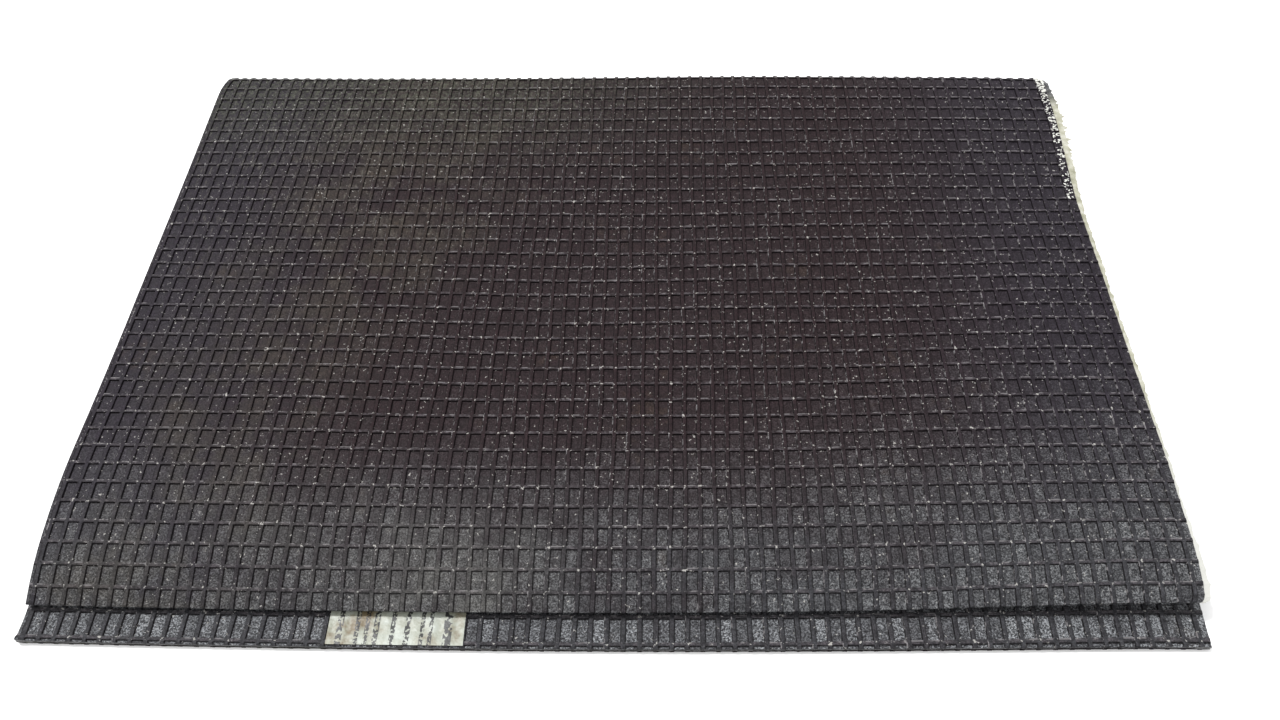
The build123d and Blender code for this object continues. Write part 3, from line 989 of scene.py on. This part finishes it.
# Each span of skin: where it starts and stops, the hinge it bends over, and the bodies whose
# sheets and seals it stands for
MID_FLAP, MID_SHOULDER = mid_row(56), mid_row(73)
SPANS = [
    (0.0, mid_row(37), "fold_1", ["lower_half"]),
    (mid_row(37), mid_row(38), "fold_2", ["fold_strip_1"]),
    (mid_row(38), mid_row(39), "fold_3", ["fold_strip_2"]),
    (mid_row(39), mid_row(40), "fold_4", ["fold_strip_3"]),
    (mid_row(40), MID_FLAP, "fold_5", ["fold_strip_4"]),
    (MID_FLAP, MID_SHOULDER, "shoulder_bend", ["flap_main"]),
    (MID_SHOULDER, FLAP_END, "lip_bend", ["flap_shoulder", "flap_lip"]),
]
for number, (start, stop, hinge, stands_for) in enumerate(SPANS):
    fine = stop - start < 2 * ROW
    outer = ribbed_skin(f"outer_skin_{number + 1}", start, stop, -1, outer_rubber, fine, number)
    inner = ribbed_skin(f"inner_skin_{number + 1}", start, stop, 1, inner_rubber, fine, 20 + number)
    seal = seal_strips(f"sealant_{number + 1}", start, stop, sealant)
    for piece, node, slot in ((outer, "outer_sheet", "ribbed_rubber"),
                              (inner, "inner_sheet", "ribbed_rubber"),
                              (seal, "edge_seal", "edge_sealant")):
        bend_at(piece, hinge)
        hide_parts(*[f"{body}_{node}" for body in stands_for])

label = label_sheet(foil)
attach(label, "lower_half")
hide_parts("rating_label")

weave = woven_cloth()
wire_metal = plain_metal("resistance_wire", (0.62, 0.58, 0.52))
for body, first, last in (("flap_main", 5, 6), ("flap_shoulder", 6, 7), ("flap_lip", 7, 8)):
    start, stop = line.s[first] + HINGE_GAP, line.s[last] - HINGE_GAP
    edge = LIP_GAP if last == 8 else 0
    cloth = flap_cloth(body, start, stop - edge, weave)
    stop - edge - start
    wire = flap_wire(body, start, stop, wire_metal)
    for piece, node, slot in ((cloth, "carrier_cloth", "carrier_cloth"),
                              (wire, "heating_wire", "heating_wire")):
        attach(piece, body)
        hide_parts(f"{body}_{node}")

crumbs_piece = crumbs(sealant_finish("sealant_crumb", False))
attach(crumbs_piece, "flap_main")

# CAD pieces that keep their shape
KEPT = {
    "junction_boot": moulded_rubber("boot_moulding", (0.014, 0.014, 0.015)),
    "cord_gland": moulded_rubber("gland_moulding", (0.03, 0.03, 0.032), 0.45),
    "lead_tails": moulded_rubber("lead_insulation", (0.30, 0.03, 0.02), 0.4),
    "splice_crimps": plain_metal("tinned_crimp", (0.72, 0.70, 0.66)),
    "thermal_cutout": plain_metal("cutout_can", (0.78, 0.77, 0.74)),
    "cutout_link": moulded_rubber("link_insulation", (0.55, 0.52, 0.45), 0.4),
}
for body in BODIES[:5]:
    KEPT[f"{body}_carrier_cloth"] = weave
    KEPT[f"{body}_heating_wire"] = wire_metal
for node, finish in KEPT.items():
    for material_slot in frame["nodes"][node].material_slots:
        material_slot.link = "OBJECT"
        material_slot.material = finish


# ---------------------------------------------------------------- floor, light, camera

FLOOR_DROP = 0.05 * MM
SKY_STRENGTH, SUN_STRENGTH, SUN_WIDTH = 1.3, 3.0, radians(8)
SUN_FROM = Vector((-0.50, 0.34, 1.15))
TILT, YAW, ROLL = radians(48.96), radians(-1.69), radians(-1.10)
LENS, SENSOR = 30.23, 36  # millimetres
CAMERA_PLACE = (0.0264, -0.4788, 0.5121)


def floor_finish():
    """A pale, nearly even floor."""
    pale = Finish("pale_floor")
    tint = pale.mix(pale.noise(pale.solid(), 3.0, 3.0), (0.86, 0.86, 0.86), (0.88, 0.88, 0.88))
    return pale.surface(None, Base_Color=tint, Roughness=0.9)


bpy.ops.mesh.primitive_plane_add(size=8, location=(0, 0, -FLOOR_DROP))
floor = bpy.context.object
floor.name = "floor"
floor.data.materials.append(floor_finish())

world = bpy.data.worlds.new("studio")
world.use_nodes = True
world.node_tree.nodes["Background"].inputs[0].default_value = (1, 1, 1, 1)
world.node_tree.nodes["Background"].inputs[1].default_value = SKY_STRENGTH
bpy.context.scene.world = world
sun = bpy.data.lights.new("window", "SUN")
sun.energy, sun.angle = SUN_STRENGTH, SUN_WIDTH
window = bpy.data.objects.new("window", sun)
window.rotation_euler = SUN_FROM.to_track_quat("Z", "Y").to_euler()
bpy.context.scene.collection.objects.link(window)

camera = bpy.data.objects.new("camera", bpy.data.cameras.new("camera"))
camera.data.lens, camera.data.sensor_width = LENS, SENSOR
forward = Vector((sin(YAW) * cos(TILT), cos(YAW) * cos(TILT), -sin(TILT)))
level = Vector((cos(YAW), -sin(YAW), 0))
upward = level.cross(forward)
right = level * cos(ROLL) + upward * sin(ROLL)
upward = upward * cos(ROLL) - level * sin(ROLL)
turned = Matrix((right, upward, -forward)).transposed().to_4x4()
camera.matrix_world = Matrix.Translation(CAMERA_PLACE) @ turned
bpy.context.scene.collection.objects.link(camera)
bpy.context.scene.camera = camera
bpy.context.scene.view_settings.view_transform = "Standard"
